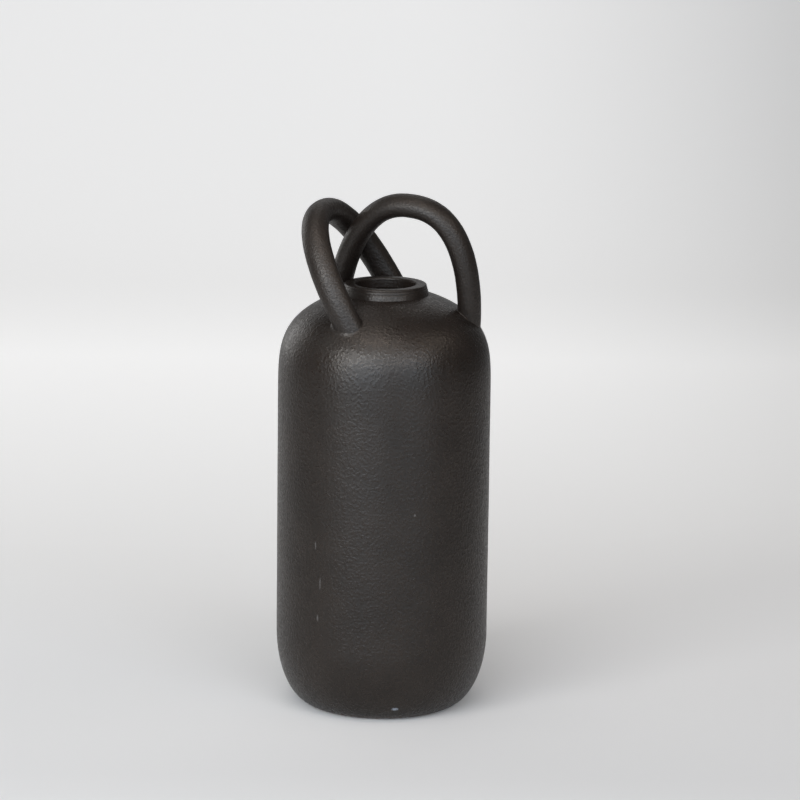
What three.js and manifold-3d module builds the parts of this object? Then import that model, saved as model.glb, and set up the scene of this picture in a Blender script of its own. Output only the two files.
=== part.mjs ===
// A matt black stoneware vase: a tall thrown bottle with a closed-in shoulder, a low collar round
// its mouth, and two hand-rolled handles that stand up as arches and pass through each other.
// Millimetres, +Z up. The foot stands on z = 0 and the axis of the pot is the Z axis.

import * as THREE from 'three';
import { mergeVertices } from 'three/addons/utils/BufferGeometryUtils.js';
import Module from 'manifold-3d';

const wasm = await Module();
wasm.setup();

// Body: radius of the straight wall and the heights where it starts and ends
const bodyRadius = 65;
const wallStart = 45;
const wallEnd = 189.2;
const wallThickness = 6;
const floorThickness = 8;

// Foot: the ring that the pot stands on, and the shallow hollow turned out inside it
const footOuterRadius = 43;
const footInnerRadius = 36;
const footHollowDepth = 2.5;
const footHollowSlope = 3;

// Shoulder: a superellipse from the straight wall to the axis
const shoulderRise = 70.8;
const shoulderOutPower = 1.48;
const shoulderUpPower = 4.28;

// Mouth and collar
const mouthRadius = 18.3;
const mouthEdgeRound = 2;
const collarThickness = 6.8;
const collarHeight = 6.2;
const collarLipRound = 1.2;
const collarFlare = 1.4;

// Clearance of the slip joint between pieces that were stuck together
const seam = 0.3;

// Left handle: the oval roll, then where its arch springs from under the shoulder. A front foot is
// set in from the wall and a back foot out from the collar; bearings run anticlockwise from +X.
const leftRollWidth = 17.4;
const leftRollDepth = 14.9;
const leftFrontInset = 17.4;
const leftFrontBearing = 244.5;
const leftFrontSink = 4.6;
const leftBackGap = 15.8;
const leftBackBearing = 81.2;
const leftBackSink = 0.7;
const leftApexAside = -39.3;
const leftApexBehind = 2.3;
const leftApexRise = 42.3;
const leftFullness = 2.19;

// Right handle, the same way
const rightRollWidth = 16.8;
const rightRollDepth = 14.2;
const rightFrontInset = 15;
const rightFrontBearing = 1;
const rightFrontSink = 22.8;
const rightBackGap = 22.2;
const rightBackBearing = 130.9;
const rightBackSink = 17.2;
const rightApexAside = 16;
const rightApexBehind = -7.2;
const rightApexRise = 48.2;
const rightFullness = 2.35;

// Luting slip: how far it runs up the roll and out over the shoulder, and its blunt edge
const leftSlip = 2.4;
const rightSlip = 2;
const slipEdge = 0.5;
const slipHold = 1.5;

// Counts of facets
const roundSteps = 72;
const cornerSteps = 7;
const shoulderSteps = 13;
const lipSteps = 6;
const archSteps = 36;
const rollQuarterSides = 5;
const slipSteps = 24;
const coveSteps = 3;
const halvings = 30;

// Share of an arch's length taken by each straight leg, and by the stretch that meets the shoulder
const legShare = 0.06;
const meetShare = 0.3;

const glaze = { color: 0x2b2928, roughness: 0.62, metalness: 0 };
const glazeWorn = { color: 0x333130, roughness: 0.68, metalness: 0 };
const slipClay = { color: 0x262423, roughness: 0.7, metalness: 0 };

const radians = THREE.MathUtils.degToRad;

// Point of the shoulder for an angle from 0 at the wall to 90 degrees at the axis. The inset moves
// the curve in by a wall's thickness, or out when it is negative.
function shoulderPoint(angle, inset) {
  const out = Math.pow(Math.max(Math.cos(angle), 0), 2 / shoulderOutPower);
  const up = Math.pow(Math.sin(angle), 2 / shoulderUpPower);
  return new THREE.Vector2((bodyRadius - inset) * out, wallEnd + (shoulderRise - inset) * up);
}

// Angle at which the shoulder is a given distance from the axis
function shoulderAngle(radius, inset) {
  return Math.acos(Math.pow(radius / (bodyRadius - inset), shoulderOutPower / 2));
}

// Height of the outer surface of the shoulder at a distance from the axis
function shoulderHeight(radius, inset = 0) {
  return shoulderPoint(shoulderAngle(radius, inset), inset).y;
}

// Quarter ellipse between foot and wall, from the ground up
function footCurve(inset, lift) {
  const points = [];
  for (let i = 0; i <= cornerSteps; i += 1) {
    const angle = (Math.PI / 2) * (1 - i / cornerSteps);
    const out = (bodyRadius - inset - footOuterRadius) * Math.cos(angle);
    const down = (wallStart - lift) * Math.sin(angle);
    points.push(new THREE.Vector2(footOuterRadius + out, wallStart - down));
  }
  return points;
}

// The shoulder from the wall in to a given radius
function shoulderCurve(inset, endRadius) {
  const points = [];
  const last = shoulderAngle(endRadius, inset);
  for (let i = 0; i <= shoulderSteps; i += 1) {
    points.push(shoulderPoint((last * i) / shoulderSteps, inset));
  }
  return points;
}

// Radius and top of the collar's wall, from which the back feet and the apexes are also placed
const collarRadius = mouthRadius + collarThickness;
const collarTop = shoulderHeight(collarRadius) + collarHeight;

// Turns a closed geometry into a solid that can be cut and joined
function toSolid(geometry) {
  const bare = geometry.index ? geometry.clone() : geometry;
  bare.deleteAttribute('normal');
  bare.deleteAttribute('uv');
  const merged = mergeVertices(bare, 1e-4);
  const corners = merged.index.array;
  const kept = [];
  for (let i = 0; i < corners.length; i += 3) {
    const [a, b, c] = [corners[i], corners[i + 1], corners[i + 2]];
    if (a !== b && b !== c && c !== a) {
      kept.push(a, b, c);
    }
  }
  return new wasm.Manifold(new wasm.Mesh({
    numProp: 3,
    vertProperties: new Float32Array(merged.attributes.position.array),
    triVerts: new Uint32Array(kept),
  }));
}

// Solid of revolution about Z from a profile of (radius, height) points
function turned(profile) {
  const geometry = new THREE.LatheGeometry(profile, roundSteps);
  geometry.rotateX(Math.PI / 2);
  return toSolid(geometry);
}

// Named mesh from a finished solid, without specks left by a cut
function piece(name, solid, finish) {
  const parts = solid.decompose();
  const largest = Math.max(...parts.map((part) => part.volume()));
  const whole = parts.find((part) => part.volume() === largest);
  const mesh = whole.getMesh();
  const geometry = new THREE.BufferGeometry();
  geometry.setAttribute('position', new THREE.BufferAttribute(mesh.vertProperties, 3));
  geometry.setIndex(new THREE.BufferAttribute(mesh.triVerts, 1));
  geometry.computeVertexNormals();
  const result = new THREE.Mesh(geometry, new THREE.MeshStandardMaterial(finish));
  result.name = name;
  return result;
}

// Quarter of a circle about (radius, height), a quarter turn anticlockwise from a start in degrees
function quarterRound(radius, height, size, start) {
  const points = [];
  for (let i = 0; i <= lipSteps / 2; i += 1) {
    const angle = radians(start + (90 * i) / (lipSteps / 2));
    points.push(new THREE.Vector2(radius + size * Math.cos(angle), height + size * Math.sin(angle)));
  }
  return points;
}

// Hollow body with its closed floor, foot ring and round-edged mouth
function bodySolid() {
  const rim = mouthRadius + mouthEdgeRound;
  const rimTop = shoulderHeight(rim);
  const innerRim = shoulderHeight(rim, wallThickness);
  return turned([
    new THREE.Vector2(0, footHollowDepth),
    new THREE.Vector2(footInnerRadius - footHollowSlope, footHollowDepth),
    new THREE.Vector2(footInnerRadius, 0),
    ...footCurve(0, 0),
    ...shoulderCurve(0, rim),
    ...quarterRound(rim, rimTop - mouthEdgeRound, mouthEdgeRound, 90).slice(1),
    ...quarterRound(rim, innerRim + mouthEdgeRound, mouthEdgeRound, 180).slice(0, -1),
    ...shoulderCurve(wallThickness, rim).reverse(),
    ...footCurve(wallThickness, floorThickness).reverse(),
    new THREE.Vector2(0, floorThickness),
  ]);
}

// Filled outer form of the body, grown by a clearance, to cut the pieces that sit on it
function bodyForm(clearance) {
  return turned([
    new THREE.Vector2(0, -clearance),
    ...footCurve(-clearance, -clearance),
    ...shoulderCurve(-clearance, mouthRadius / 4),
    new THREE.Vector2(0, wallEnd + shoulderRise + clearance),
  ]);
}

// Profile of the collar: its underside follows the shoulder, its wall slopes in from a flared foot,
// and its lip is rounded on both edges
function collarProfile(clearance) {
  const outer = collarRadius + clearance;
  const foot = outer + collarFlare;
  const inner = mouthRadius - clearance;
  const lip = collarLipRound + clearance;
  const lipHeight = collarTop - collarLipRound;
  return [
    new THREE.Vector2(inner, shoulderHeight(inner) + seam),
    new THREE.Vector2(foot, shoulderHeight(foot) + seam),
    ...quarterRound(outer - lip, lipHeight, lip, 0),
    ...quarterRound(inner + lip, lipHeight, lip, 90),
    new THREE.Vector2(inner, shoulderHeight(inner) + seam),
  ];
}

// Point under the shoulder from which one leg of an arch springs
function springing(reach, bearing, sink) {
  const angle = radians(bearing);
  const height = shoulderHeight(reach) - sink;
  return new THREE.Vector3(reach * Math.cos(angle), reach * Math.sin(angle), height);
}

// Centre line of a handle in its own plane: a superellipse arch on two short straight legs
class ArchCurve extends THREE.Curve {
  constructor(halfSpan, rise, skew, fullness, legLength) {
    super();
    Object.assign(this, { halfSpan, rise, skew, fullness, legLength });
  }

  getPoint(t, target = new THREE.Vector3()) {
    const turn = THREE.MathUtils.clamp((t - legShare) / (1 - 2 * legShare), 0, 1) * Math.PI;
    const side = Math.cos(turn);
    const out = Math.sign(side) * Math.pow(Math.abs(side), 2 / this.fullness);
    const up = Math.pow(Math.sin(turn), 2 / this.fullness);
    const below = Math.max(legShare - t, t - (1 - legShare), 0) / legShare;
    const height = up - (below * this.legLength) / Math.hypot(this.skew, this.rise);
    return target.set(this.halfSpan * out + this.skew * height, 0, this.rise * height);
  }
}

// A handle: its springing points, its apex above the collar, and the plane that holds them. The
// plane's own axes run across from the back leg to the front one, and up towards the apex.
function arch({ front, back, apex, fullness, width, depth, slip }) {
  const middle = front.clone().add(back).multiplyScalar(0.5);
  const across = front.clone().sub(back);
  const halfSpan = across.length() / 2;
  across.normalize();
  const toApex = apex.clone().sub(middle);
  const skew = toApex.dot(across);
  const up = toApex.clone().addScaledVector(across, -skew);
  const rise = up.length();
  up.normalize();
  const facing = new THREE.Vector3().crossVectors(up, across);
  const place = new THREE.Matrix4().makeBasis(across, facing, up).setPosition(middle);
  const curve = new ArchCurve(halfSpan, rise, skew, fullness, width / 2);
  return { curve, place, facing, width, depth, slip };
}

// Oval roll swept along a handle's centre line, grown by a clearance
function rollSolid(handle, clearance) {
  const section = new THREE.Shape();
  const halfWidth = handle.width / 2 + clearance;
  const halfDepth = handle.depth / 2 + clearance;
  section.absellipse(0, 0, halfWidth, halfDepth, 0, Math.PI * 2, true, 0);
  const geometry = new THREE.ExtrudeGeometry(section, {
    steps: archSteps,
    curveSegments: rollQuarterSides * 2,
    extrudePath: handle.curve,
  });
  geometry.applyMatrix4(handle.place);
  return toSolid(geometry);
}

// Point of the roll's skin at a place along the arch and an angle round it, with the arch's direction
function skinPoint(handle, t, angle) {
  const centre = handle.curve.getPoint(t).applyMatrix4(handle.place);
  const along = handle.curve.getTangent(t).transformDirection(handle.place);
  const inward = new THREE.Vector3().crossVectors(handle.facing, along).normalize();
  const out = new THREE.Vector3()
    .addScaledVector(handle.facing, (handle.width / 2) * Math.cos(angle))
    .addScaledVector(inward, (handle.depth / 2) * Math.sin(angle));
  return { point: centre.add(out), out, along };
}

// Distance from the axis, kept just inside the wall so that the shoulder has a height there
function onShoulder(point) {
  return Math.min(Math.hypot(point.x, point.y), bodyRadius - seam);
}

// Where the roll's skin meets the shoulder, on the front leg or the back one
function meetShoulder(handle, foot, angle) {
  let [low, high] = foot === 'front' ? [0, meetShare] : [1, 1 - meetShare];
  for (let i = 0; i < halvings; i += 1) {
    const middle = (low + high) / 2;
    const { point } = skinPoint(handle, middle, angle);
    if (point.z < shoulderHeight(onShoulder(point))) {
      low = middle;
    } else {
      high = middle;
    }
  }
  return skinPoint(handle, low, angle);
}

// Outward direction of the shoulder's surface at a point
function shoulderNormal(point) {
  const radius = onShoulder(point);
  const fall = (shoulderHeight(radius - seam) - shoulderHeight(radius + seam / 2)) / (1.5 * seam);
  return new THREE.Vector3((point.x / radius) * fall, (point.y / radius) * fall, 1).normalize();
}

// Luting slip round one foot: a cove section carried round the line where roll and shoulder meet
function slipSolid(handle, foot) {
  const rings = [];
  for (let i = 0; i < slipSteps; i += 1) {
    const { point: corner, out, along } = meetShoulder(handle, foot, (i / slipSteps) * Math.PI * 2);
    const up = foot === 'front' ? along : along.clone().negate();
    const normal = shoulderNormal(corner);
    const away = out.clone().addScaledVector(normal, -out.dot(normal)).normalize();
    const skin = out.clone().addScaledVector(up, -out.dot(up)).normalize();
    const top = corner.clone().addScaledVector(up, handle.slip).addScaledVector(skin, slipEdge);
    const toe = corner.clone().addScaledVector(away, handle.slip);
    toe.z = shoulderHeight(onShoulder(toe)) + slipEdge;
    const pull = corner.clone().addScaledVector(away, slipEdge).addScaledVector(normal, slipEdge);
    const ring = [top.clone().addScaledVector(skin, -slipHold)];
    const cove = new THREE.QuadraticBezierCurve3(top, pull, toe);
    for (let k = 0; k <= coveSteps; k += 1) {
      ring.push(cove.getPoint(k / coveSteps));
    }
    ring.push(toe.clone().addScaledVector(normal, -slipHold));
    ring.push(corner.clone().addScaledVector(normal, -slipHold).addScaledVector(skin, -slipHold));
    rings.push(foot === 'front' ? ring : ring.reverse());
  }
  return ringSolid(rings);
}

// Closed ring of sections, each joined to the next
function ringSolid(rings) {
  const size = rings[0].length;
  const positions = rings.flat().flatMap((point) => [point.x, point.y, point.z]);
  const index = [];
  for (let i = 0; i < rings.length; i += 1) {
    const next = (i + 1) % rings.length;
    for (let k = 0; k < size; k += 1) {
      const up = (k + 1) % size;
      const [a, b, c, d] = [i * size + k, next * size + k, next * size + up, i * size + up];
      index.push(a, b, c, a, c, d);
    }
  }
  const geometry = new THREE.BufferGeometry();
  geometry.setAttribute('position', new THREE.Float32BufferAttribute(positions, 3));
  geometry.setIndex(index);
  return toSolid(geometry);
}

const handles = {
  left: arch({
    front: springing(bodyRadius - leftFrontInset, leftFrontBearing, leftFrontSink),
    back: springing(collarRadius + leftBackGap, leftBackBearing, leftBackSink),
    apex: new THREE.Vector3(leftApexAside, leftApexBehind, collarTop + leftApexRise),
    fullness: leftFullness,
    width: leftRollWidth,
    depth: leftRollDepth,
    slip: leftSlip,
  }),
  right: arch({
    front: springing(bodyRadius - rightFrontInset, rightFrontBearing, rightFrontSink),
    back: springing(collarRadius + rightBackGap, rightBackBearing, rightBackSink),
    apex: new THREE.Vector3(rightApexAside, rightApexBehind, collarTop + rightApexRise),
    fullness: rightFullness,
    width: rightRollWidth,
    depth: rightRollDepth,
    slip: rightSlip,
  }),
};

const seatCutter = bodyForm(seam);
const collarSolid = turned(collarProfile(0));
const collarCutter = turned(collarProfile(seam));

const vase = new THREE.Group();
vase.add(piece('vase_body', bodySolid(), glaze));
vase.add(piece('neck_collar', collarSolid, glaze));
for (const [side, handle] of Object.entries(handles)) {
  const roll = rollSolid(handle, 0).subtract(seatCutter);
  vase.add(piece(`handle_${side}`, roll, glazeWorn));
  const rollCutter = rollSolid(handle, seam);
  for (const foot of ['front', 'back']) {
    const slip = slipSolid(handle, foot).subtract(rollCutter).subtract(seatCutter).subtract(collarCutter);
    vase.add(piece(`slip_${side}_${foot}`, slip, slipClay));
  }
}

export default vase;
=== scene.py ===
import math

import bmesh
import bpy
from mathutils import Matrix, Vector, noise


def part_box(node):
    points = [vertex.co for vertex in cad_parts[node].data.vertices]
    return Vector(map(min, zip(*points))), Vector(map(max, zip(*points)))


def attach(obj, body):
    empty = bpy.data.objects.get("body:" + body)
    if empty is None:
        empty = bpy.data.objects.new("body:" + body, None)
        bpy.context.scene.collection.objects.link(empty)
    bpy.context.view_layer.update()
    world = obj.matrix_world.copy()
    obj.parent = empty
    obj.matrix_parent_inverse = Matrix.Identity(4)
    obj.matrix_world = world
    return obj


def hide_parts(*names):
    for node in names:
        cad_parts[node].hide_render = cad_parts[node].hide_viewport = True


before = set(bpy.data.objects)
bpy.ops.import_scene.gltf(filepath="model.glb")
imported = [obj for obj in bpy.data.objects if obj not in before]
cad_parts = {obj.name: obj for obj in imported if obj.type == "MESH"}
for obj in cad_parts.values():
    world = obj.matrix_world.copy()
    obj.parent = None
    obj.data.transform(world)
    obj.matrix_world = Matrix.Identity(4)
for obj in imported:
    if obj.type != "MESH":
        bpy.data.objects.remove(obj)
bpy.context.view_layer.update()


# Body. The pot is thrown in black stoneware as one hollow bottle, closed in at the shoulder and
# turned at the foot. Its walls keep the faint unevenness of the potter's hands.
MM = 0.001
SKIN_MARGIN = 0.05 * MM
BODY_RADIUS = Vector(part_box("vase_body")[1]).x - SKIN_MARGIN
WALL_START = 45 * MM
WALL_END = 189.2 * MM
WALL_THICKNESS = 6 * MM
FLOOR_THICKNESS = 8 * MM
FOOT_OUTER = 43 * MM
FOOT_INNER = 36 * MM
FOOT_HOLLOW = 2.5 * MM
FOOT_SLOPE = 3 * MM
SHOULDER_RISE = 70.8 * MM
SHOULDER_OUT_POWER = 1.48
SHOULDER_UP_POWER = 4.28
MOUTH_RADIUS = 18.3 * MM
MOUTH_EDGE = 2 * MM
MOUTH_EDGE_FROM = 120
MOUTH_EDGE_TO = 250
BODY_TURN_STEPS = 256
FOOT_STEPS = 30
WALL_STEPS = 100
SHOULDER_STEPS = 72
MOUTH_STEPS = 5
INNER_SHOULDER_STEPS = 24
INNER_WALL_STEPS = 12
INNER_FOOT_STEPS = 14
BODY_UNEVENNESS = 0.22 * MM
BODY_UNEVEN_SIZE = 34 * MM
FINE_SIZE_SHARE = 0.31
SEED_SHIFTS = (7.3, 3.1, 5.7)
ON_AXIS = 1e-6


def shoulder_point(angle, inset=0.0):
    """Radius and height on the superellipse shoulder, or on its inner face when inset."""
    out = max(math.cos(angle), 0.0) ** (2 / SHOULDER_OUT_POWER)
    up = math.sin(angle) ** (2 / SHOULDER_UP_POWER)
    return ((BODY_RADIUS - inset) * out, WALL_END + (SHOULDER_RISE - inset) * up)


def shoulder_angle(radius, inset=0.0):
    return math.acos((radius / (BODY_RADIUS - inset)) ** (SHOULDER_OUT_POWER / 2))


def shoulder_height(radius, inset=0.0):
    return shoulder_point(shoulder_angle(radius, inset), inset)[1]


def shoulder_curve(inset, end_radius, steps):
    """Shoulder from the wall to the given radius, with its points closer together near the wall."""
    last = shoulder_angle(end_radius, inset)
    return [shoulder_point(last * (i / steps) ** 2, inset) for i in range(steps + 1)]


def foot_curve(inset, lift, steps):
    """Quarter ellipse from the foot ring out to the wall."""
    points = []
    for i in range(steps + 1):
        angle = math.pi / 2 * (1 - i / steps)
        out = (BODY_RADIUS - inset - FOOT_OUTER) * math.cos(angle)
        points.append((FOOT_OUTER + out, WALL_START - (WALL_START - lift) * math.sin(angle)))
    return points


def straight(start, end, steps):
    """Points between two ends of a straight stretch, without the ends."""
    return [(start[0] + (end[0] - start[0]) * i / steps, start[1] + (end[1] - start[1]) * i / steps)
            for i in range(1, steps)]


def arc(centre, radius, start, end, steps):
    """Circular arc between two angles in degrees."""
    angles = [math.radians(start + (end - start) * i / steps) for i in range(steps + 1)]
    return [(centre[0] + radius * math.cos(a), centre[1] + radius * math.sin(a)) for a in angles]


def link(name, bm):
    """Smooth-shaded object made from the mesh, placed in the scene."""
    bmesh.ops.recalc_face_normals(bm, faces=bm.faces)
    mesh = bpy.data.meshes.new(name)
    bm.to_mesh(mesh)
    bm.free()
    mesh.shade_smooth()
    piece = bpy.data.objects.new(name, mesh)
    bpy.context.scene.collection.objects.link(piece)
    return piece


def turn(name, profile, steps, closed=False):
    """Surface of revolution about Z. A profile that isn't closed starts and ends on the axis."""
    bm = bmesh.new()
    rings = []
    for radius, height in profile:
        if radius < ON_AXIS:
            rings.append([bm.verts.new((0, 0, height))])
            continue
        ring = []
        for k in range(steps):
            angle = 2 * math.pi * k / steps
            ring.append(bm.verts.new((radius * math.cos(angle), radius * math.sin(angle), height)))
        rings.append(ring)
    pairs = list(zip(rings, rings[1:])) + ([(rings[-1], rings[0])] if closed else [])
    for low, high in pairs:
        for k in range(steps):
            corners = [low[k % len(low)], low[(k + 1) % len(low)]]
            corners += [high[(k + 1) % len(high)], high[k % len(high)]]
            unique = list(dict.fromkeys(corners))
            if len(unique) > 2:
                bm.faces.new(unique)
    return link(name, bm)


def uneven(piece, depth, size, seed, fine_share=0.12):
    """Moves each point in by up to the depth, in soft hollows of the given size and finer ones."""
    mesh = piece.data
    normals = [v.normal.copy() for v in mesh.vertices]
    shift = Vector([seed * step for step in SEED_SHIFTS])
    for vertex, normal in zip(mesh.vertices, normals):
        soft = noise.noise(vertex.co / size + shift)
        fine = noise.noise(vertex.co / (size * FINE_SIZE_SHARE) + shift)
        vertex.co -= normal * depth * (0.5 + (0.5 - fine_share) * soft + fine_share * fine)


mouth_rim = MOUTH_RADIUS + MOUTH_EDGE
outer_rim = shoulder_height(mouth_rim)
inner_rim = shoulder_height(mouth_rim, WALL_THICKNESS)
outer_foot = foot_curve(0, 0, FOOT_STEPS)
outer_shoulder = shoulder_curve(0, mouth_rim, SHOULDER_STEPS)
inner_shoulder = shoulder_curve(WALL_THICKNESS, mouth_rim, INNER_SHOULDER_STEPS)[::-1]
inner_foot = foot_curve(WALL_THICKNESS, FLOOR_THICKNESS, INNER_FOOT_STEPS)[::-1]
body_profile = [(0, FOOT_HOLLOW), (FOOT_INNER - FOOT_SLOPE, FOOT_HOLLOW), (FOOT_INNER, 0)]
body_profile += outer_foot + straight(outer_foot[-1], outer_shoulder[0], WALL_STEPS) + outer_shoulder
body_profile += arc((mouth_rim, outer_rim - MOUTH_EDGE), MOUTH_EDGE, MOUTH_EDGE_FROM, 180, MOUTH_STEPS)
body_profile += arc((mouth_rim, inner_rim + MOUTH_EDGE), MOUTH_EDGE, 180, MOUTH_EDGE_TO, MOUTH_STEPS)
body_profile += inner_shoulder + straight(inner_shoulder[-1], inner_foot[0], INNER_WALL_STEPS)
body_profile += inner_foot + [(0, FLOOR_THICKNESS)]
body = turn("vase_body_thrown", body_profile, BODY_TURN_STEPS)
uneven(body, BODY_UNEVENNESS, BODY_UNEVEN_SIZE, seed=1)
for vertex in body.data.vertices:
    vertex.co.z = max(vertex.co.z, 0.0)

GLAZE_DARK = (0.0125, 0.0088, 0.0070)
GLAZE_PALE = (0.0222, 0.0162, 0.0130)
GLAZE_SHINE = 0.5
GLAZE_SHEEN = (1.0, 0.95, 0.90)
PEBBLE_DETAIL = 1.5
PEBBLE_ROUGHNESS = 0.45
PEBBLE_CONTRAST = (0.25, 0.75)
GRIT_FINENESS = 3.7
GRIT_SHARE = 0.3
CLOUD_SIZE = 30 * MM
CLOUD_DETAIL = 5.0
CLOUD_CONTRAST = (0.3, 0.7)
HOLLOW_SHADE = 0.6
HOLLOW_ROUGHNESS = 0.20
MARK_GRAINS_PER_METRE = 1100.0
MARK_FADE = (1.6, 0.9)


def socket(group, kind, name, output=False):
    group.interface.new_socket(name, in_out="OUTPUT" if output else "INPUT", socket_type=kind)


def node(tree, kind, **values):
    made = tree.nodes.new(kind)
    for key, value in values.items():
        setattr(made, key, value)
    return made


def feed(tree, target, value):
    """Links an input to another node's output, or sets it to a constant."""
    if isinstance(value, bpy.types.NodeSocket):
        tree.links.new(value, target)
    else:
        target.default_value = value


def compute(tree, operation, *values, kind="ShaderNodeMath", output=0):
    """Result of a math node that is fed the given values in turn."""
    made = node(tree, kind, operation=operation)
    for target, value in zip(made.inputs, values):
        feed(tree, target, value)
    return made.outputs[output]


def remap(tree, value, start, end, low=0.0, high=1.0, smooth=False):
    """Value whose stretch from start to end becomes low to high, and which stays there beyond it."""
    made = node(tree, "ShaderNodeMapRange", interpolation_type="SMOOTHSTEP" if smooth else "LINEAR")
    feed(tree, made.inputs["Value"], value)
    made.inputs["From Min"].default_value = start
    made.inputs["From Max"].default_value = end
    made.inputs["To Min"].default_value = low
    made.inputs["To Max"].default_value = high
    return made.outputs[0]


def mixed(tree, share, under, over):
    """Colour that turns from one to the other as the share rises."""
    made = node(tree, "ShaderNodeMix", data_type="RGBA")
    feed(tree, made.inputs["Factor"], share)
    feed(tree, made.inputs["A"], under)
    feed(tree, made.inputs["B"], over)
    return made.outputs["Result"]


def noise_field(tree, scale, detail=2.0, roughness=0.5):
    """Noise over the piece's own coordinates."""
    place = node(tree, "ShaderNodeTexCoord")
    made = node(tree, "ShaderNodeTexNoise")
    tree.links.new(place.outputs["Object"], made.inputs["Vector"])
    feed(tree, made.inputs["Scale"], scale)
    made.inputs["Detail"].default_value = detail
    made.inputs["Roughness"].default_value = roughness
    return made.outputs[0]


def coordinates(tree):
    """X, Y and Z of a point of the piece, in metres."""
    place = node(tree, "ShaderNodeTexCoord")
    split = node(tree, "ShaderNodeSeparateXYZ")
    tree.links.new(place.outputs["Object"], split.inputs[0])
    return split.outputs


def pebble_group():
    """Orange-peel grain of the matt glaze: soft pebbles with finer grit on them."""
    group = bpy.data.node_groups.new("pebble_grain", "ShaderNodeTree")
    socket(group, "NodeSocketFloat", "Pebble Size")
    socket(group, "NodeSocketFloat", "Height", output=True)
    socket(group, "NodeSocketFloat", "Hollows", output=True)
    given = node(group, "NodeGroupInput")
    result = node(group, "NodeGroupOutput")
    per_metre = compute(group, "DIVIDE", 1.0, given.outputs["Pebble Size"])
    pebbles = noise_field(group, per_metre, PEBBLE_DETAIL, PEBBLE_ROUGHNESS)
    grit = noise_field(group, compute(group, "MULTIPLY", per_metre, GRIT_FINENESS))
    swell = remap(group, pebbles, *PEBBLE_CONTRAST, smooth=True)
    height = compute(group, "ADD", swell, compute(group, "MULTIPLY", grit, GRIT_SHARE))
    group.links.new(height, result.inputs["Height"])
    group.links.new(compute(group, "SUBTRACT", 1.0, swell), result.inputs["Hollows"])
    return group


def tone_group():
    """Uneven tone of the fired glaze: dark and pale clouds, and hollows that are darker and rougher."""
    group = bpy.data.node_groups.new("glaze_tone", "ShaderNodeTree")
    socket(group, "NodeSocketFloat", "Hollows")
    socket(group, "NodeSocketFloat", "Matt")
    socket(group, "NodeSocketColor", "Color", output=True)
    socket(group, "NodeSocketFloat", "Roughness", output=True)
    given = node(group, "NodeGroupInput")
    result = node(group, "NodeGroupOutput")
    hollows = given.outputs["Hollows"]
    clouds = remap(group, noise_field(group, 1 / CLOUD_SIZE, CLOUD_DETAIL), *CLOUD_CONTRAST)
    tone = mixed(group, clouds, (*GLAZE_DARK, 1), (*GLAZE_PALE, 1))
    shade = remap(group, hollows, 0.0, 1.0, 1.0, HOLLOW_SHADE)
    color = compute(group, "MULTIPLY", tone, shade, kind="ShaderNodeVectorMath")
    rough = compute(group, "MULTIPLY_ADD", hollows, HOLLOW_ROUGHNESS, given.outputs["Matt"])
    group.links.new(color, result.inputs["Color"])
    group.links.new(rough, result.inputs["Roughness"])
    return group


def mark_group():
    """Soft ragged patch round a centre, for the scratches in the glaze and for a painted glint of light."""
    group = bpy.data.node_groups.new("scratch_and_glint_mark", "ShaderNodeTree")
    socket(group, "NodeSocketVector", "Centre")
    socket(group, "NodeSocketVector", "Reach")
    socket(group, "NodeSocketFloat", "Mask", output=True)
    given = node(group, "NodeGroupInput")
    result = node(group, "NodeGroupOutput")
    place = node(group, "ShaderNodeTexCoord")
    away = compute(group, "SUBTRACT", place.outputs["Object"], given.outputs["Centre"],
                   kind="ShaderNodeVectorMath")
    share = compute(group, "DIVIDE", away, given.outputs["Reach"], kind="ShaderNodeVectorMath")
    distance = compute(group, "LENGTH", share, kind="ShaderNodeVectorMath", output="Value")
    ragged = compute(group, "ADD", distance, noise_field(group, MARK_GRAINS_PER_METRE))
    group.links.new(remap(group, ragged, *MARK_FADE, smooth=True), result.inputs["Mask"])
    return group


PEBBLE = pebble_group()
TONE = tone_group()
MARK = mark_group()


def glaze(name, pebble_size, pebble_depth, matt, marks=(), foot_layers=()):
    """Matt black glaze over stoneware, with its small marks. The foot's layers show one after the
    other towards the floor, each from a first height to one where it covers fully."""
    material = bpy.data.materials.new(name)
    material.use_nodes = True
    tree = material.node_tree
    shader = tree.nodes["Principled BSDF"]
    grain = node(tree, "ShaderNodeGroup", node_tree=PEBBLE)
    grain.inputs["Pebble Size"].default_value = pebble_size
    tone = node(tree, "ShaderNodeGroup", node_tree=TONE)
    tone.inputs["Matt"].default_value = matt
    tree.links.new(grain.outputs["Hollows"], tone.inputs["Hollows"])
    bump = node(tree, "ShaderNodeBump")
    bump.inputs["Strength"].default_value = 1.0
    bump.inputs["Distance"].default_value = pebble_depth
    tree.links.new(grain.outputs["Height"], bump.inputs["Height"])
    tree.links.new(bump.outputs["Normal"], shader.inputs["Normal"])
    tree.links.new(tone.outputs["Roughness"], shader.inputs["Roughness"])
    color = tone.outputs["Color"]
    for centre, reach, mark_color in marks:
        mark = node(tree, "ShaderNodeGroup", node_tree=MARK)
        mark.inputs["Centre"].default_value = [value * MM for value in centre]
        mark.inputs["Reach"].default_value = [value * MM for value in reach]
        color = mixed(tree, mark.outputs["Mask"], color, (*mark_color, 1))
    for first, full, layer_color in foot_layers:
        cover = remap(tree, coordinates(tree)["Z"], first, full)
        color = mixed(tree, cover, color, (*layer_color, 1))
    tree.links.new(color, shader.inputs["Base Color"])
    shader.inputs["Specular IOR Level"].default_value = GLAZE_SHINE
    shader.inputs["Specular Tint"].default_value = (*GLAZE_SHEEN, 1)
    return material


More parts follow.
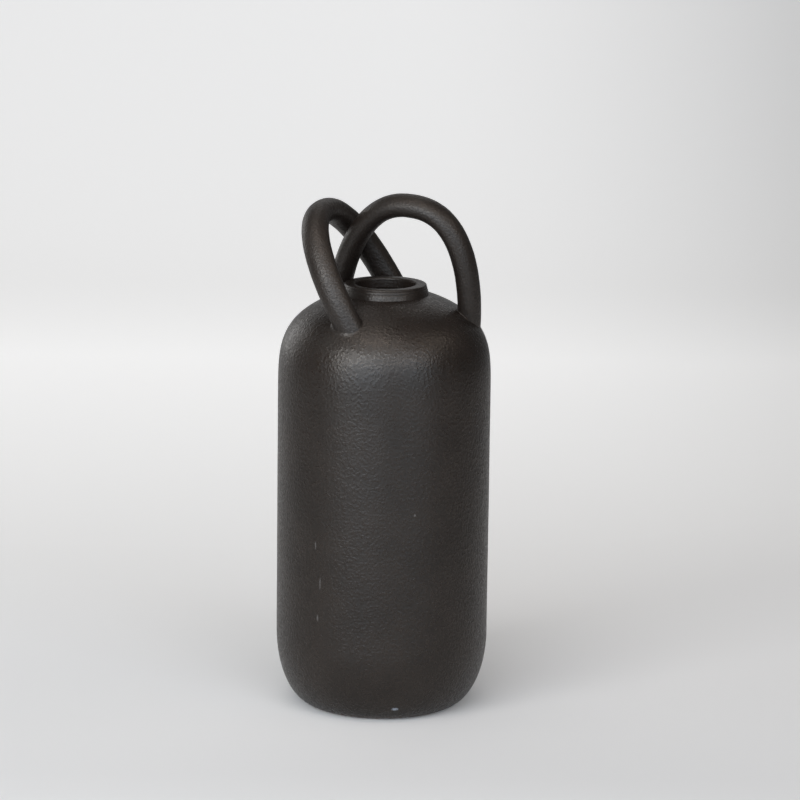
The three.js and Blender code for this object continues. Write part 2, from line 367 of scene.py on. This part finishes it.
BODY_PEBBLE_SIZE = 1.7 * MM
BODY_PEBBLE_DEPTH = 0.125 * MM
BODY_MATT = 0.24
BREAK_BROWN = (0.052, 0.027, 0.016)
BARE_CLAY = (0.42, 0.30, 0.24)
FOOT_LAYERS = ((4.0 * MM, 1.2 * MM, BREAK_BROWN), (0.9 * MM, 0.45 * MM, BARE_CLAY))
SCRATCH_PALE = (0.09, 0.083, 0.08)
# Bluish white for a glint of light painted on the curve under the foot.
PAINTED_GLINT_WHITE = (0.26, 0.28, 0.32)
BODY_MARKS = (
    ((-37.4, -53.0, 87.0), (0.5, 0.8, 4.2), SCRATCH_PALE),
    ((-38.8, -52.1, 65.0), (0.7, 0.8, 2.6), SCRATCH_PALE),
    ((-40.3, -50.9, 110.0), (0.5, 0.8, 2.8), SCRATCH_PALE),
    ((19.0, -61.9, 132.0), (0.7, 0.8, 1.0), SCRATCH_PALE),
    # The last mark is that painted glint under the foot, not a speck in the glaze; the others are pale
    # scratches.
    ((8.6, -55.8, 9.4), (2.4, 1.6, 1.3), PAINTED_GLINT_WHITE),
)
body.data.materials.append(glaze("matt_black_glaze", BODY_PEBBLE_SIZE, BODY_PEBBLE_DEPTH, BODY_MATT,
                                 BODY_MARKS, FOOT_LAYERS))
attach(body, "root")
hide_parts("vase_body")


# Collar. A low ring of clay is luted round the mouth and turned to a sloping wall under a thin lip,
# with two fine lines left by the turning tool. It is glazed with the body.
COLLAR_THICKNESS = 6.8 * MM
COLLAR_HEIGHT = 6.2 * MM
COLLAR_LIP = 1.2 * MM
COLLAR_FLARE = 1.4 * MM
COLLAR_SINK = 0.4 * MM
COLLAR_LINES = ((1.5 * MM, 0.30 * MM), (3.3 * MM, 0.18 * MM))
COLLAR_LINE_WIDTH = 0.28 * MM
COLLAR_CROWN = 0.15 * MM
COLLAR_TURN_STEPS = 200
COLLAR_WALL_STEPS = 48
COLLAR_LIP_STEPS = 10
COLLAR_TOP_STEPS = 8
COLLAR_BORE_STEPS = 6
COLLAR_UNEVENNESS = 0.1 * MM
COLLAR_UNEVEN_SIZE = 9 * MM
COLLAR_PEBBLE_SIZE = 1.3 * MM
COLLAR_PEBBLE_DEPTH = 0.09 * MM
COLLAR_MATT = 0.28
collar_radius = MOUTH_RADIUS + COLLAR_THICKNESS
collar_top = shoulder_height(collar_radius) + COLLAR_HEIGHT
collar_foot = collar_radius + COLLAR_FLARE
collar_seat = shoulder_height(collar_foot) - COLLAR_SINK
lip_height = collar_top - COLLAR_CROWN - COLLAR_LIP


def collar_wall(steps):
    """Sloping wall from foot to lip, drawn in a little along each turned line."""
    points = []
    foot_height = collar_seat + COLLAR_SINK
    for i in range(steps + 1):
        t = i / steps
        height = foot_height + (lip_height - foot_height) * t
        radius = collar_foot + (collar_radius - collar_foot) * t
        for below, depth in COLLAR_LINES:
            off = (collar_top - below - height) / COLLAR_LINE_WIDTH
            radius -= depth * math.exp(-off * off)
        points.append((radius, height))
    return points


def collar_crown(steps):
    """Top of the ring from the outer lip to the inner one, a little domed."""
    points = []
    for i in range(1, steps):
        across = i / steps
        dome = COLLAR_CROWN * math.sin(math.pi * across)
        points.append((collar_radius - COLLAR_LIP - (COLLAR_THICKNESS - 2 * COLLAR_LIP) * across,
                       lip_height + COLLAR_LIP + dome))
    return points


collar_profile = [(MOUTH_RADIUS, collar_seat), (collar_foot, collar_seat)] + collar_wall(COLLAR_WALL_STEPS)
collar_profile += arc((collar_radius - COLLAR_LIP, lip_height), COLLAR_LIP, 0, 90, COLLAR_LIP_STEPS)[1:]
collar_profile += collar_crown(COLLAR_TOP_STEPS)
collar_profile += arc((MOUTH_RADIUS + COLLAR_LIP, lip_height), COLLAR_LIP, 90, 180, COLLAR_LIP_STEPS)
collar_profile += straight(collar_profile[-1], collar_profile[0], COLLAR_BORE_STEPS)
collar = turn("neck_collar_turned", collar_profile, COLLAR_TURN_STEPS, closed=True)
uneven(collar, COLLAR_UNEVENNESS, COLLAR_UNEVEN_SIZE, seed=2)
collar.data.materials.append(glaze("collar_glaze", COLLAR_PEBBLE_SIZE, COLLAR_PEBBLE_DEPTH, COLLAR_MATT))
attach(collar, "root")
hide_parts("neck_collar")


# Handles. Each is a roll of clay, pressed a little oval, bent into an arch and stood on the scored
# shoulder. The right one is threaded through the left one before its second foot is pressed down.
HANDLES = {
    "left": {"width": 17.4, "depth": 14.9, "front": (47.6, 244.5, 4.6), "back": (40.9, 81.2, 0.7),
             "apex": (-39.3, 2.3, 42.3), "fullness": 2.19, "seed": 3},
    "right": {"width": 16.8, "depth": 14.2, "front": (50.0, 1.0, 22.8), "back": (47.3, 130.9, 17.2),
              "apex": (16.0, -7.2, 48.2), "fullness": 2.35, "seed": 4},
}
LEG_SHARE = 0.06
SOLE_DEPTH = 2.5 * MM
WALL_MARGIN = 0.3 * MM
TANGENT_STEP = 1e-4
LENGTH_STEPS = 3000
LEAST_LENGTH = 1e-9
ROLL_STEPS = 260
ROLL_SIDES = 56
HANDLE_UNEVENNESS = 0.25 * MM
HANDLE_UNEVEN_SIZE = 8 * MM
HANDLE_FINE_SHARE = 0.2
HANDLE_PEBBLE_SIZE = 1.3 * MM
HANDLE_PEBBLE_DEPTH = 0.12 * MM
HANDLE_MATT = 0.32


def springing(reach, bearing, sink):
    """Point from which one leg of an arch springs, at a reach from the axis and a depth under the
    shoulder, both in millimetres, and at a bearing in degrees."""
    angle = math.radians(bearing)
    radius = reach * MM
    return Vector((radius * math.cos(angle), radius * math.sin(angle), shoulder_height(radius) - sink * MM))


class Arch:
    """Centre line of a handle: a superellipse arch in the plane of its two springing points and apex.
    The apex is given in millimetres to the right of the axis, behind it and above the collar."""

    def __init__(self, values):
        front, back = springing(*values["front"]), springing(*values["back"])
        self.half_width = values["width"] * MM / 2
        self.half_depth = values["depth"] * MM / 2
        self.fullness = values["fullness"]
        self.middle = (front + back) / 2
        self.half_span = (front - back).length / 2
        self.across = (front - back).normalized()
        aside, behind, rise = values["apex"]
        to_apex = Vector((aside * MM, behind * MM, collar_top + rise * MM)) - self.middle
        self.skew = to_apex.dot(self.across)
        self.up = to_apex - self.across * self.skew
        self.rise = self.up.length
        self.up.normalize()
        self.facing = self.up.cross(self.across)

    def point(self, t):
        """Centre of the roll, from the front leg's end at 0 to the back leg's end at 1."""
        turned = min(max((t - LEG_SHARE) / (1 - 2 * LEG_SHARE), 0), 1) * math.pi
        side = math.cos(turned)
        out = math.copysign(abs(side) ** (2 / self.fullness), side)
        up = max(math.sin(turned), 0) ** (2 / self.fullness)
        below = max(LEG_SHARE - t, t - (1 - LEG_SHARE), 0) / LEG_SHARE
        height = up - below * self.half_width / math.hypot(self.skew, self.rise)
        sideways = self.across * (self.half_span * out + self.skew * height)
        return self.middle + sideways + self.up * self.rise * height

    def skin(self, t, angle):
        """Point of the roll's skin, the way out from its centre, and the way along the arch."""
        ahead, behind = self.point(min(t + TANGENT_STEP, 1)), self.point(max(t - TANGENT_STEP, 0))
        along = (ahead - behind).normalized()
        inward = self.facing.cross(along).normalized()
        out = self.facing * self.half_width * math.cos(angle) + inward * self.half_depth * math.sin(angle)
        return self.point(t) + out, out, along


def even_places(arch, steps):
    """Places along the arch that lie at even distances."""
    fine = [i / LENGTH_STEPS for i in range(LENGTH_STEPS + 1)]
    lengths = [0.0]
    for a, b in zip(fine, fine[1:]):
        lengths.append(lengths[-1] + (arch.point(b) - arch.point(a)).length)
    places = []
    index = 0
    for i in range(steps + 1):
        wanted = lengths[-1] * i / steps
        while index < len(fine) - 2 and lengths[index + 1] < wanted:
            index += 1
        share = (wanted - lengths[index]) / max(lengths[index + 1] - lengths[index], LEAST_LENGTH)
        places.append(fine[index] + (fine[index + 1] - fine[index]) * share)
    return places


def on_shoulder(point):
    """The point's distance from the axis, kept just inside the wall."""
    return min(math.hypot(point.x, point.y), BODY_RADIUS - WALL_MARGIN)


def roll(name, arch, steps, sides):
    """Oval roll swept along the arch, its soles pressed to the shoulder a little under its surface."""
    bm = bmesh.new()
    rings = []
    for t in even_places(arch, steps):
        ring = [arch.skin(t, 2 * math.pi * k / sides)[0] for k in range(sides)]
        soles = [shoulder_height(on_shoulder(point)) - SOLE_DEPTH for point in ring]
        if all(point.z < sole for point, sole in zip(ring, soles)):
            continue
        for point, sole in zip(ring, soles):
            point.z = max(point.z, sole)
        rings.append([bm.verts.new(point) for point in ring])
    for low, high in zip(rings, rings[1:]):
        for k in range(sides):
            bm.faces.new((low[k], low[(k + 1) % sides], high[(k + 1) % sides], high[k]))
    bm.faces.new(rings[0][::-1])
    bm.faces.new(rings[-1])
    return link(name, bm)


handle_glaze = glaze("handle_glaze", HANDLE_PEBBLE_SIZE, HANDLE_PEBBLE_DEPTH, HANDLE_MATT)
arches = {side: Arch(values) for side, values in HANDLES.items()}
for side, values in HANDLES.items():
    piece = roll(f"handle_{side}_roll", arches[side], ROLL_STEPS, ROLL_SIDES)
    uneven(piece, HANDLE_UNEVENNESS, HANDLE_UNEVEN_SIZE, values["seed"], HANDLE_FINE_SHARE)
    piece.data.materials.append(handle_glaze)
    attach(piece, "root")
    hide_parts(f"handle_{side}")


# Joining slip. Liquid clay is wiped round each foot with a finger, so that roll and shoulder meet in
# a small smooth cove. Each cove is a ring of clay that fires to one with the pieces it joins. It has
# a reach in millimetres, the bearing in degrees where it is broadest, and its least share of the reach.
SLIPS = {
    ("left", "front"): (2.8, 205, 0.25), ("left", "back"): (2.2, 120, 0.5),
    ("right", "front"): (1.4, 20, 0.35), ("right", "back"): (2.0, 170, 0.5),
}
SLIP_SINK = 0.5 * MM
SLIP_FEATHER = 0.35 * MM
SLIP_NARROWING = 1.5
SLIP_WOBBLE = 0.25
SLIP_WOBBLE_SIZE = 5 * MM
SLIP_STEPS = 120
COVE_STEPS = 8
MEET_SHARE = 0.3
MEET_HALVINGS = 30
SLIP_PEBBLE_SIZE = 1.4 * MM
SLIP_PEBBLE_DEPTH = 0.09 * MM
SLIP_MATT = 0.30


def meet_shoulder(arch, foot, angle):
    """Where the roll's skin meets the shoulder, on the front leg or the back one."""
    low, high = (0, MEET_SHARE) if foot == "front" else (1, 1 - MEET_SHARE)
    for _ in range(MEET_HALVINGS):
        middle = (low + high) / 2
        point = arch.skin(middle, angle)[0]
        if point.z < shoulder_height(on_shoulder(point)):
            low = middle
        else:
            high = middle
    return arch.skin(low, angle)


def shoulder_normal(point):
    """Way out from the shoulder at the point."""
    radius = on_shoulder(point)
    inner, outer = radius - WALL_MARGIN, radius + WALL_MARGIN / 2
    slope = (shoulder_height(inner) - shoulder_height(outer)) / (outer - inner)
    return Vector((point.x / radius * slope, point.y / radius * slope, 1)).normalized()


def cove(name, arch, foot, size, bearing, least, steps):
    """Ring of clay with a hollow section, carried round the line where roll and shoulder meet. It is
    widest on the side that the bearing gives and narrows to the least share opposite."""
    bm = bmesh.new()
    rings = []
    broad = Vector((math.cos(math.radians(bearing)), math.sin(math.radians(bearing)), 0))
    for i in range(steps):
        corner, out, along = meet_shoulder(arch, foot, 2 * math.pi * i / steps)
        up = along if foot == "front" else -along
        normal = shoulder_normal(corner)
        away = (out - normal * out.dot(normal)).normalized()
        skin = (out - up * out.dot(up)).normalized()
        share = least + (1 - least) * (0.5 + 0.5 * away.dot(broad)) ** SLIP_NARROWING
        reach = size * share * (1 + SLIP_WOBBLE * noise.noise(corner / SLIP_WOBBLE_SIZE))
        top = corner + up * reach - skin * SLIP_FEATHER
        toe = corner + away * reach
        toe.z = shoulder_height(on_shoulder(toe)) - SLIP_FEATHER
        ring = []
        for k in range(COVE_STEPS + 1):
            t = k / COVE_STEPS
            ring.append(bm.verts.new(top * (1 - t) ** 2 + corner * 2 * t * (1 - t) + toe * t ** 2))
        ring.append(bm.verts.new(corner - normal * SLIP_SINK - skin * SLIP_SINK * 2))
        rings.append(ring)
    count = len(rings[0])
    for low, high in zip(rings, rings[1:] + rings[:1]):
        for k in range(count):
            bm.faces.new((low[k], low[(k + 1) % count], high[(k + 1) % count], high[k]))
    return link(name, bm)


slip_glaze = glaze("slip_glaze", SLIP_PEBBLE_SIZE, SLIP_PEBBLE_DEPTH, SLIP_MATT)
for (side, foot), (size, bearing, least) in SLIPS.items():
    piece = cove(f"slip_{side}_{foot}_cove", arches[side], foot, size * MM, bearing, least, SLIP_STEPS)
    piece.data.materials.append(slip_glaze)
    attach(piece, "root")
    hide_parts(f"slip_{side}_{foot}")


# Paper sweep. The vase stands on a seamless sheet of pale paper that curves up behind it. Lit, it would
# fade with distance, so a glow that only the eye and reflections see evens it out. Beyond the
# photographed view the eye sees plain pale paper. Its distances are in metres from the vase.
SWEEP_WIDTH = 8.0
SWEEP_FRONT = -3.5
SWEEP_BACK = 2.6
SWEEP_RADIUS = 1.2
SWEEP_HEIGHT = 4.0
SWEEP_CURVE_STEPS = 24
PAPER_ROUGHNESS = 0.9
PAPER_SHINE = 0.1
PAPER_ALL_ROUND = 0.5
PAPER_SEEN = 0.74
GLOSS_SHARE = 0.45
FIBRE_SCALE = 3.0
FIBRE_SHADE = 0.97
GLOW_LEVEL = 0.60
GLOW_DEPTH = (-0.16, 1.05)
GLOW_SIDE = (0.0, 1.1)
GLOW_RIGHT = 0.05
GLOW_HEIGHT = (0.2, 0.9)
PLAIN_LEVEL = 0.7
PLAIN_SIDE = (0.8, 1.5)
PLAIN_FRONT = (-0.25, -0.9)


def sweep_mesh():
    """Sheet that runs level to the back and then curves up."""
    bm = bmesh.new()
    outline = [(SWEEP_FRONT, 0.0), (SWEEP_BACK - SWEEP_RADIUS, 0.0)]
    for i in range(1, SWEEP_CURVE_STEPS + 1):
        angle = math.pi / 2 * i / SWEEP_CURVE_STEPS
        outline.append((SWEEP_BACK - SWEEP_RADIUS + SWEEP_RADIUS * math.sin(angle),
                        SWEEP_RADIUS * (1 - math.cos(angle))))
    outline.append((SWEEP_BACK, SWEEP_HEIGHT))
    edges = [[bm.verts.new((x, y, z)) for x in (-SWEEP_WIDTH / 2, SWEEP_WIDTH / 2)] for y, z in outline]
    for low, high in zip(edges, edges[1:]):
        bm.faces.new((low[0], low[1], high[1], high[0]))
    return link("paper_sweep", bm)


def seen_shares(tree, gloss_share):
    """What the eye sees, straight or through glass, and the same with a share of what reflections see.
    Both are 0 for the light that falls on the vase."""
    path = node(tree, "ShaderNodeLightPath")
    by_eye = compute(tree, "MAXIMUM", path.outputs["Is Camera Ray"], path.outputs["Is Transmission Ray"])
    in_gloss = compute(tree, "MULTIPLY", path.outputs["Is Glossy Ray"], gloss_share)
    return by_eye, compute(tree, "MAXIMUM", by_eye, in_gloss)


def paper_material():
    """Pale paper with its glow, and with a plain tone beyond the photographed view."""
    material = bpy.data.materials.new("paper_white")
    material.use_nodes = True
    tree = material.node_tree
    shader = tree.nodes["Principled BSDF"]
    shader.inputs["Roughness"].default_value = PAPER_ROUGHNESS
    shader.inputs["Specular IOR Level"].default_value = PAPER_SHINE
    shader.inputs["Emission Strength"].default_value = 1.0
    by_eye, with_gloss = seen_shares(tree, GLOSS_SHARE)
    x, y, z = coordinates(tree)
    fibre = node(tree, "ShaderNodeTexNoise")
    fibre.inputs["Scale"].default_value = FIBRE_SCALE
    fibre_tone = remap(tree, fibre.outputs[0], 0.0, 1.0, FIBRE_SHADE, 1.0)
    whiteness = remap(tree, with_gloss, 0.0, 1.0, PAPER_ALL_ROUND, PAPER_SEEN)
    paper_tone = compute(tree, "MULTIPLY", fibre_tone, whiteness)
    glow = remap(tree, y, *GLOW_DEPTH, 0.0, GLOW_LEVEL)
    # The glow is painted light on the paper. It fades towards the right and up the curve of the sweep,
    # which paints those parts darker, as in shade.
    glow = compute(tree, "MULTIPLY", glow, remap(tree, x, *GLOW_SIDE, 1.0, GLOW_RIGHT, smooth=True))
    glow = compute(tree, "MULTIPLY", glow, remap(tree, z, *GLOW_HEIGHT, 1.0, 0.0, smooth=True))
    glow = compute(tree, "MULTIPLY", glow, with_gloss)
    far_side = remap(tree, compute(tree, "ABSOLUTE", x), *PLAIN_SIDE, smooth=True)
    far_front = remap(tree, y, *PLAIN_FRONT, smooth=True)
    plain = compute(tree, "MULTIPLY", compute(tree, "MAXIMUM", far_side, far_front), by_eye)
    tree.links.new(mixed(tree, plain, paper_tone, (0, 0, 0, 1)), shader.inputs["Base Color"])
    plain_color = (PLAIN_LEVEL, PLAIN_LEVEL, PLAIN_LEVEL, 1)
    tree.links.new(mixed(tree, plain, glow, plain_color), shader.inputs["Emission Color"])
    return material


paper = sweep_mesh()
paper.data.materials.append(paper_material())


# Room. The light comes from broad soft boxes in front, the left one the stronger, with strips above
# and beside them and weaker boxes round the sides and the back. The room looks pale but lights little.
ROOM_TINT = (1.0, 0.97, 0.94)
ROOM_ALL_ROUND = 0.05
ROOM_SEEN = 0.72
ROOM_GLOSS_SHARE = 0.05
SOFTBOX_DISTANCE = 1.6
AIM_HEIGHT = 0.15
WHITE = (1.0, 1.0, 1.0)
world = bpy.data.worlds.new("pale_room")
bpy.context.scene.world = world
world.use_nodes = True
room = world.node_tree.nodes["Background"]
room.inputs["Color"].default_value = (*ROOM_TINT, 1)
room_seen = seen_shares(world.node_tree, ROOM_GLOSS_SHARE)[1]
room_level = remap(world.node_tree, room_seen, 0.0, 1.0, ROOM_ALL_ROUND, ROOM_SEEN)
world.node_tree.links.new(room_level, room.inputs["Strength"])


def softbox(name, azimuth, elevation, width, height, watts, tint, spread=180, distance=SOFTBOX_DISTANCE):
    """Rectangular soft light aimed at the vase. Its azimuth, elevation and spread are in degrees, and
    the azimuth is 0 on the camera's side and positive to the right. Its lengths are in metres."""
    lamp = bpy.data.lights.new(name, "AREA")
    lamp.shape = "RECTANGLE"
    lamp.size = width
    lamp.size_y = height
    lamp.energy = watts
    lamp.color = tint
    lamp.spread = math.radians(spread)
    holder = bpy.data.objects.new(name, lamp)
    around, rise = math.radians(azimuth), math.radians(elevation)
    out = Vector((math.cos(rise) * math.sin(around), -math.cos(rise) * math.cos(around), math.sin(rise)))
    holder.location = Vector((0, 0, AIM_HEIGHT)) + out * distance
    holder.rotation_euler = (-out).to_track_quat("-Z", "Y").to_euler()
    bpy.context.scene.collection.objects.link(holder)


softbox("key_softbox", -25, 10, 1.45, 0.70, 9.1, (0.70, 0.84, 1.0))
softbox("key_top_softbox", -25, 29, 1.45, 0.35, 11.1, (0.94, 0.97, 1.0))
softbox("key_edge_softbox", -44, 18, 0.50, 0.90, 3.3, (1.0, 0.93, 0.83))
softbox("fill_softbox", 29, 9, 1.00, 0.62, 3.6, (0.66, 0.83, 1.0))
softbox("fill_top_softbox", 27, 28, 1.10, 0.35, 4.8, (0.93, 0.95, 1.0))
softbox("fill_edge_softbox", 50, 30, 0.50, 0.60, 0.9, (1.0, 0.84, 0.7))
softbox("front_softbox", 0, 46, 1.40, 0.35, 1.9, (1.0, 0.96, 0.91))
softbox("front_high_softbox", -10, 62, 1.30, 0.35, 4.1, (1.0, 0.91, 0.85))
softbox("top_softbox", -60, 75, 0.80, 0.80, 2.3, (1.0, 0.93, 0.87))
softbox("left_side_softbox", -100, 18, 0.80, 0.80, 0.4, WHITE)
softbox("left_high_softbox", -75, 45, 0.90, 0.70, 0.8, (0.83, 0.96, 1.0))
softbox("right_high_softbox", 75, 45, 0.80, 0.60, 1.5, (1.0, 0.89, 0.78))
softbox("back_softbox", 180, 60, 0.90, 0.60, 1.1, WHITE)
softbox("low_back_softbox", -135, 14, 0.80, 0.80, 0.6, WHITE, spread=80, distance=1.5)
softbox("back_low_softbox", 180, 30, 1.80, 0.50, 0.6, WHITE, spread=110)


# Camera. It stands in front of the vase, a little above it, and looks slightly down. It leans by less
# than one degree, as the photograph does.
CAMERA_DISTANCE = 2.3
CAMERA_HEIGHT = 0.6851
CAMERA_PITCH = math.radians(12.17)
CAMERA_YAW = math.radians(0.24)
CAMERA_ROLL = math.radians(0.72)
CAMERA_LENS = 173.6
CAMERA_SENSOR = 36
forward = Vector((math.sin(CAMERA_YAW) * math.cos(CAMERA_PITCH),
                  math.cos(CAMERA_YAW) * math.cos(CAMERA_PITCH), -math.sin(CAMERA_PITCH)))
level = Vector((math.cos(CAMERA_YAW), -math.sin(CAMERA_YAW), 0))
upright = level.cross(forward)
right = level * math.cos(CAMERA_ROLL) + upright * math.sin(CAMERA_ROLL)
top = upright * math.cos(CAMERA_ROLL) - level * math.sin(CAMERA_ROLL)
camera_data = bpy.data.cameras.new("camera")
camera_data.lens = CAMERA_LENS
camera_data.sensor_width = CAMERA_SENSOR
camera = bpy.data.objects.new("camera", camera_data)
camera.matrix_world = Matrix.Translation((0, -CAMERA_DISTANCE, CAMERA_HEIGHT)) @ Matrix(
    (right, top, -forward)).transposed().to_4x4()
bpy.context.scene.collection.objects.link(camera)
bpy.context.scene.camera = camera
bpy.context.scene.view_settings.view_transform = "Standard"

bpy.context.view_layer.update()
